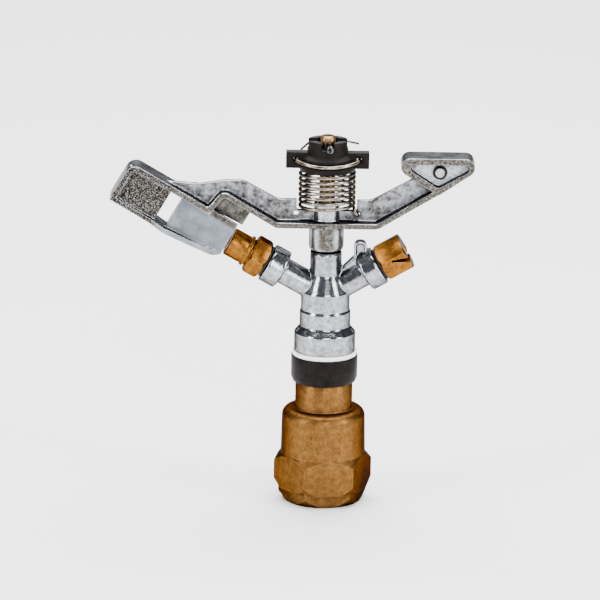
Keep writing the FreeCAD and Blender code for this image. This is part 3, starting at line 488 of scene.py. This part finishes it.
def arm_zinc(name):
    """Die-cast zinc: bright smooth flanges, front and back faces with a look for each zone, and painted
    shade in corners, on turned-away sides and round the boss.
    """
    look = Look(name)
    clouds = look.noise(5 * MM, detail=5.0)
    speckle = look.noise(1.0 * MM, detail=7.0, roughness=0.8)
    dents = look.noise(3 * MM, detail=2.0)
    face = look.remap(look.depth(look.facing), 0.0, 1.0, *SQUARING)
    base = look.mix(face, look.ramp(clouds, *ZINC_TOP), arm_faces(look, speckle))
    # Painted shade in the corners.
    base = look.shade_corners(base, ZINC_CORNER, ZINC_CORNER_SHADE)
    # Painted shade on sides turned away from the eye.
    base = look.mix(look.rim_shade(ZINC_RIM_SHADE_MOST), base, ZINC_RIM_SHADE)
    # A ring of painted shade round the boss's edge.
    base = look.mix(look.ring(BOSS_CENTRE, BOSS_RADIUS, BOSS_RING), base, ZINC_BOSS_SHADE)
    roughness = look.mix(face, grey(ZINC_TOP_ROUGH), grey(ZINC_FACE_ROUGH))
    normal = look.bump(speckle, ZINC_GRAIN_DEPTH, look.bump(dents, ZINC_DENT_DEPTH))
    return look.finish(base, roughness, normal, Metallic=1.0, Specular_Tint=METAL_TINT)


def plastic(name, light, dark, rough, shine):
    """A moulded plastic or rubber with faint clouds and a fine grain."""
    look = Look(name)
    clouds = look.noise(3 * MM, detail=4.0)
    grain = look.noise(0.25 * MM, detail=2.0)
    base = look.ramp(clouds, (0.35, dark), (0.65, light))
    roughness = look.remap(grain, rough - LESS_ROUGH, rough + MORE_ROUGH)
    return look.finish(base, roughness, look.bump(grain, 0.012 * MM), Specular_IOR_Level=shine)


def make_finishes():
    """Every finish, by the name of its material slot."""
    finishes = {"arm_zinc": arm_zinc("arm_zinc")}
    for name, settings in METALS.items():
        finishes[name] = metal(name, **settings)
    for name, settings in PLASTICS.items():
        finishes[name] = plastic(name, **settings)
    return finishes


# ---------------------------------------------------------------- dressing the CAD nodes
def soften(node):
    """Round a machined node's edges with a narrow bevel."""
    weld = node.modifiers.new("weld", "WELD")
    weld.merge_threshold = WELD_GAP
    bevel = node.modifiers.new("soft_edges", "BEVEL")
    bevel.width = BEVEL_WIDTH
    bevel.segments = BEVEL_STEPS
    bevel.limit_method = "ANGLE"
    bevel.angle_limit = BEVEL_ANGLE
    bevel.harden_normals = True


def cast(node):
    """Give a cast node the rounded edges and filled corners of a casting."""
    remesh = node.modifiers.new("cast_skin", "REMESH")
    remesh.mode = "VOXEL"
    remesh.voxel_size = CAST_CELL
    remesh.use_smooth_shade = True
    smooth = node.modifiers.new("cast_rounds", "SMOOTH")
    smooth.factor = CAST_SMOOTHING
    smooth.iterations = CAST_PASSES


def dress_frame(finishes):
    """Give every CAD node its finish, smooth shading and softened edges."""
    slots = {part["node"]: part["material_slot"] for part in frame["record"]["subparts"]}
    for name, node in frame["nodes"].items():
        node.data.materials.clear()
        node.data.materials.append(finishes[slots[name]])
        for face in node.data.polygons:
            face.use_smooth = True
        if name in CAST_NODES:
            cast(node)
        else:
            soften(node)


# ---------------------------------------------------------------- wires
def curve_through(points, steps):
    """Points along a Catmull-Rom curve through points, steps of them in each span."""
    padded = [points[0] * 2 - points[1]] + points + [points[-1] * 2 - points[-2]]
    line = []
    for before, start, end, after in zip(padded, padded[1:], padded[2:], padded[3:]):
        for step in range(steps):
            t = step / steps
            speed = (end - before) * t
            bend = (before * 2 - start * 5 + end * 4 - after) * t**2
            twist = (start * 3 - before - end * 3 + after) * t**3
            line.append((start * 2 + speed + bend + twist) / 2)
    line.append(points[-1])
    return line


def tube(name, line, radius, sides=WIRE_SIDES):
    """A round wire along a line of points, closed at both ends."""
    mesh = bpy.data.meshes.new(name)
    rings = bmesh.new()
    side = (line[1] - line[0]).orthogonal()
    last = None
    for before, point, after in zip([line[0]] + line, line, line[1:] + [line[-1]]):
        along = (after - before).normalized()
        side = (side - along * side.dot(along)).normalized()
        across = along.cross(side)
        ring = []
        for step in range(sides):
            angle = 2 * math.pi * step / sides
            outward = side * math.cos(angle) + across * math.sin(angle)
            ring.append(rings.verts.new(point + outward * radius))
        if last is None:
            rings.faces.new(ring[::-1])
        else:
            for step in range(sides):
                following = (step + 1) % sides
                rings.faces.new((last[step], last[following], ring[following], ring[step]))
        last = ring
    rings.faces.new(last)
    for face in rings.faces:
        face.smooth = True
    rings.to_mesh(mesh)
    rings.free()
    piece = bpy.data.objects.new(name, mesh)
    bpy.context.scene.collection.objects.link(piece)
    return piece


def ease_bends(points, bend):
    """The points of a wire with each inner corner eased over a bend's length on both sides."""
    eased = [points[0]]
    for before, corner, after in zip(points, points[1:], points[2:]):
        entry = corner + (before - corner).normalized() * bend
        leave = corner + (after - corner).normalized() * bend
        eased += [entry, (entry + leave + corner * 2) / 4, leave]
    return eased + [points[-1]]


def wire_piece(piece, finish, node):
    """Let a finished wire stand in for a CAD node, in one of the record's material slots."""
    piece.data.materials.append(finish)
    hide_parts(node)


def add_arm_spring(finish):
    """The torsion spring from its hook in the arm's web, up its coils, to the hoop round the cap."""
    low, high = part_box("arm_spring")
    hook_z = low.z + ARM_WIRE
    coil_z = hook_z + HOOK_RISE
    hoop_z = high.z - ARM_WIRE
    enter = Vector((HOOK_X, -HOOK_FRONT, hook_z))
    leave = Vector((COIL_RADIUS, -HOOK_FRONT, coil_z))
    loop_end = (enter + leave) / 2 - Vector((0, (enter - leave).length / 2, 0))
    tail = Vector((HOOK_X, HOOK_FRONT, hook_z))
    line = [tail, Vector((HOOK_X, 0, hook_z)), enter, loop_end, leave]
    for step in range(round((COIL_TURNS + LAST_HALF_TURN) * COIL_STEPS) + 1):
        turned = step / COIL_STEPS
        rise = COIL_PITCH * min(turned, COIL_TURNS)
        rise += LAST_RISE * max(turned - COIL_TURNS, 0) / LAST_HALF_TURN
        angle = 2 * math.pi * turned
        across = COIL_RADIUS * math.cos(angle)
        back = COIL_RADIUS * math.sin(angle)
        line.append(Vector((across, back, coil_z + rise)))
    top = line[-1].z
    riser = [
        Vector((-RISER_START, COIL_RADIUS, top)),
        Vector((-RISER_SIDE, RISER_SIDE, top)),
        Vector((-HOOP_HOLE, HOOP_END, hoop_z)),
        Vector((-HOOP_HOLE, HOOP_SIDE, hoop_z)),
    ]
    line += ease_bends(riser, WIRE_BEND) + hoop_line(hoop_z)
    line += [Vector((HOOP_HOLE, HOOP_SIDE, hoop_z)), Vector((HOOP_HOLE, HOOP_END, hoop_z))]
    piece = tube("spring_wire", curve_through(line, SPRING_STEPS), ARM_WIRE)
    wire_piece(piece, finish, "arm_spring")
    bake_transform(piece)


def hoop_line(height, half_steps=6):
    """The arc from one wing's hole to the other's, sinking towards the front of the cap."""
    centre = (HOOP_HOLE**2 + HOOP_SIDE**2 - HOOP_FRONT**2) / (2 * (HOOP_SIDE - HOOP_FRONT))
    radius = HOOP_FRONT - centre
    spread = math.atan2(HOOP_HOLE, HOOP_SIDE - centre)
    line = []
    for step in range(-half_steps, half_steps + 1):
        angle = spread * step / half_steps
        forward = centre + radius * math.cos(angle)
        sink = HOOP_DROOP * (forward - HOOP_SIDE) / (HOOP_FRONT - HOOP_SIDE)
        line.append(Vector((radius * math.sin(angle), -forward, height - sink)))
    return line


def add_split_pin(finish):
    """The split pin: one wire folded into an upright eye in front, its legs spread behind."""
    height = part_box("cotter_pin")[1].z - SPLIT_WIRE - SPLIT_EYE
    hole = Vector((0, 0, height))
    apart = Vector((0, 0, SPLIT_APART))
    front = hole + Vector((0, SPLIT_FRONT, 0))
    back = hole + Vector((0, SPLIT_BACK, 0))
    left = [hole + SPLIT_LEFT_END, hole + SPLIT_LEFT_BEND, back - apart, front - apart]
    right = [front + apart, back + apart, hole + SPLIT_RIGHT_END]
    facing = Matrix.Rotation(SPLIT_TURN, 3, "Z")
    eye = []
    for degrees in range(EYE_HALF_TURN, -EYE_HALF_TURN - 1, -EYE_STEP):
        angle = math.radians(degrees)
        around = Vector((0, -SPLIT_EYE * (1 + math.cos(angle)), -SPLIT_EYE * math.sin(angle)))
        eye.append(front + facing @ around)
    line = ease_bends(left, SPLIT_BEND) + eye + ease_bends(right, SPLIT_BEND)
    piece = tube("split_pin_wire", curve_through(line, SPLIT_STEPS), SPLIT_WIRE)
    wire_piece(piece, finish, "cotter_pin")
    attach(piece, "rotor")


def helix(radius, bottom, pitch, turns, steps=36):
    """Points climbing round the axis from +X."""
    line = []
    for step in range(round(turns * steps) + 1):
        angle = 2 * math.pi * step / steps
        height = bottom + pitch * step / steps
        line.append(Vector((radius * math.cos(angle), radius * math.sin(angle), height)))
    return line


def add_bearing_spring(finish):
    """The short spring under the hood, squeezed between the inlet's neck and the hood's roof."""
    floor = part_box("inlet_connector")[1].z
    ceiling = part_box("dust_hood")[1].z - HOOD_ROOF
    rise = ceiling - floor - 2 * BEARING_WIRE
    line = helix(BEARING_COIL, floor + BEARING_WIRE, rise / BEARING_TURNS, BEARING_TURNS)
    piece = tube("bearing_spring_wire", line, BEARING_WIRE)
    wire_piece(piece, finish, "bearing_spring")
    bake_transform(piece)


def add_inlet_thread(finish):
    """The turns of the female thread, as a ridge round the wall of the inlet's bore."""
    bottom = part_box("inlet_connector")[0].z + THREAD_PITCH
    turns = THREAD_LENGTH / THREAD_PITCH - THREAD_CLEAR_TURNS
    line = helix(THREAD_RADIUS, bottom, THREAD_PITCH, turns)
    piece = tube("inlet_thread", line, THREAD_WIRE, THREAD_SIDES)
    piece.data.materials.append(finish)
    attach(piece, "base")


# ---------------------------------------------------------------- stage
def add_camera():
    """A long lens in front of the sprinkler, looking down on it and rolled a little."""
    forward = Vector((0.0, math.cos(CAMERA_LIFT), -math.sin(CAMERA_LIFT)))
    right = Vector((1.0, 0.0, 0.0))
    up = right.cross(forward)
    turn = Matrix.Rotation(-CAMERA_ROLL, 3, forward)
    axes = Matrix((turn @ right, turn @ up, -forward)).transposed().to_4x4()
    camera = bpy.data.objects.new("camera", bpy.data.cameras.new("camera"))
    camera.data.lens = SENSOR * CAMERA_DISTANCE / VIEW_WIDTH
    camera.data.sensor_width = SENSOR
    camera.matrix_world = Matrix.Translation(CAMERA_AIM - forward * CAMERA_DISTANCE) @ axes
    bpy.context.scene.collection.objects.link(camera)
    bpy.context.scene.camera = camera


def add_softbox(name, place, width, height, power):
    """A rectangular light aimed at the same point as the camera."""
    light = bpy.data.lights.new(name, "AREA")
    light.shape = "RECTANGLE"
    light.size = width
    light.size_y = height
    light.energy = power
    lamp = bpy.data.objects.new(name, light)
    lamp.location = place
    lamp.rotation_euler = (CAMERA_AIM - Vector(place)).to_track_quat("-Z", "Y").to_euler()
    bpy.context.scene.collection.objects.link(lamp)


def add_floor():
    """A plain pale floor under the sprinkler."""
    mesh = bpy.data.meshes.new("floor")
    half = FLOOR_HALF
    corners = [(-half, -half, 0), (half, -half, 0), (half, half, 0), (-half, half, 0)]
    mesh.from_pydata(corners, [], [(0, 1, 2, 3)])
    floor = bpy.data.objects.new("floor", mesh)
    floor.location.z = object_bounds()[0][2]
    bpy.context.scene.collection.objects.link(floor)
    look = Look("floor_paint")
    clouds = look.noise(FLOOR_CLOUDS, detail=3.0)
    tone = look.ramp(clouds, (0.3, grey(FLOOR_DARK)), (0.7, grey(FLOOR_LIGHT)))
    floor.data.materials.append(look.finish(tone, FLOOR_ROUGH))


def add_studio():
    """A dim sky and the softboxes."""
    world = bpy.data.worlds.new("studio")
    world.use_nodes = True
    background = world.node_tree.nodes["Background"]
    background.inputs["Color"].default_value = SKY_COLOUR
    background.inputs["Strength"].default_value = SKY_STRENGTH
    bpy.context.scene.world = world
    for name, (place, width, height, power) in SOFTBOXES.items():
        add_softbox(name, place, width, height, power)


finishes = make_finishes()
dress_frame(finishes)
add_arm_spring(finishes["spring_steel"])
add_split_pin(finishes["pin_steel"])
add_bearing_spring(finishes["spring_steel"])
add_inlet_thread(finishes["brass"])
add_floor()
add_studio()
add_camera()
